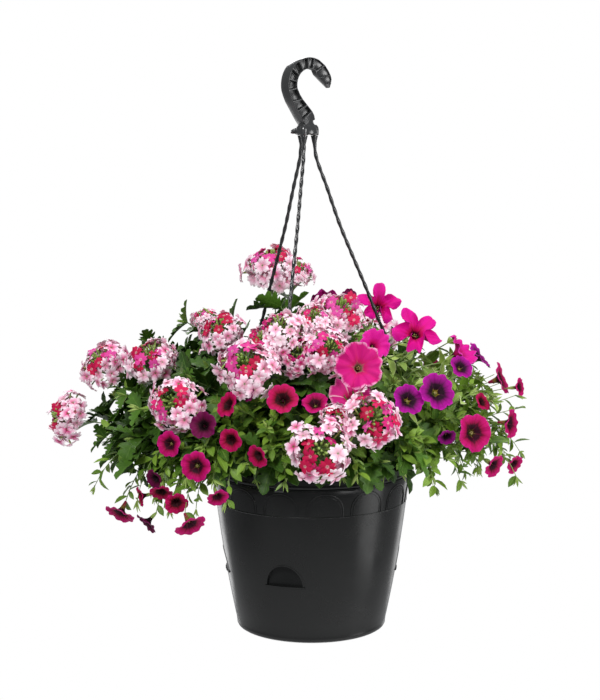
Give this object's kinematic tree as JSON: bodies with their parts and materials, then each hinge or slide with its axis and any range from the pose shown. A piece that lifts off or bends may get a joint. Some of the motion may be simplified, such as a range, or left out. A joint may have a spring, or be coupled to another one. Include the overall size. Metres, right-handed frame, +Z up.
{
  "type": "flowering hanging basket",
  "caption": "Dark plastic hanging pot on twisted strands and a moulded hook, overflowing with pink verbena, magenta calibrachoa and petunia.",
  "frame": {"origin": "where the hook's inner crown bears on its support", "axes": "+Z up through the hook, -Y towards the front of the planting"},
  "size_m": [0.5686, 0.4671, 0.6848],
  "materials": {
    "pot_plastic": "satin, moulded",
    "plate_plastic": "matt",
    "hook_plastic": "semi-gloss, moulded",
    "strand_plastic": "semi-gloss, twisted",
    "soil": "crumbly potting mix",
    "verbena_petal": "soft petal",
    "crimson_petal": "velvety petal",
    "magenta_petal": "velvety petal",
    "purple_petal": "velvety petal",
    "wine_petal": "velvety petal",
    "petunia_petal": "velvety petal",
    "verbena_leaf": "rough leaf",
    "calibrachoa_leaf": "soft leaf",
    "petunia_leaf": "soft downy leaf"
  },
  "bodies": {
    "root": {"calibrachoa_01": "crimson_petal", "calibrachoa_02": "magenta_petal", "calibrachoa_03": "crimson_petal", "calibrachoa_04": "wine_petal", "calibrachoa_05": "magenta_petal", "calibrachoa_06": "magenta_petal", "calibrachoa_07": "purple_petal", "calibrachoa_08": "purple_petal", "calibrachoa_09": "magenta_petal", "calibrachoa_10": "magenta_petal", "calibrachoa_11": "purple_petal", "calibrachoa_12": "magenta_petal", "calibrachoa_13": "crimson_petal", "calibrachoa_14": "crimson_petal", "calibrachoa_15": "magenta_petal", "calibrachoa_16": "wine_petal", "calibrachoa_17": "crimson_petal", "calibrachoa_18": "magenta_petal", "calibrachoa_19": "purple_petal", "calibrachoa_20": "magenta_petal", "calibrachoa_21": "magenta_petal", "calibrachoa_22": "purple_petal", "calibrachoa_23": "crimson_petal", "calibrachoa_24": "magenta_petal", "calibrachoa_back": "calibrachoa_leaf", "calibrachoa_left": "calibrachoa_leaf", "calibrachoa_right": "calibrachoa_leaf", "hook": "hook_plastic", "petunia_01": "petunia_petal", "petunia_02": "petunia_petal", "petunia_03": "petunia_petal", "petunia_04": "petunia_petal", "petunia_05": "petunia_petal", "petunia_06": "petunia_petal", "petunia_07": "petunia_petal", "petunia_plant": "petunia_leaf", "pot": "pot_plastic", "reservoir_plate": "plate_plastic", "soil": "soil", "strand_back": "strand_plastic", "strand_front": "strand_plastic", "strand_right": "strand_plastic", "verbena_back": "verbena_leaf", "verbena_centre": "verbena_leaf", "verbena_head_01": "verbena_petal", "verbena_head_02": "verbena_petal", "verbena_head_03": "verbena_petal", "verbena_head_04": "verbena_petal", "verbena_head_05": "verbena_petal", "verbena_head_06": "verbena_petal", "verbena_head_07": "verbena_petal", "verbena_head_08": "verbena_petal", "verbena_head_09": "verbena_petal", "verbena_head_10": "verbena_petal", "verbena_head_11": "verbena_petal", "verbena_head_12": "verbena_petal", "verbena_head_13": "verbena_petal", "verbena_head_14": "verbena_petal", "verbena_head_15": "verbena_petal", "verbena_left": "verbena_leaf"}
  },
  "joints": []
}
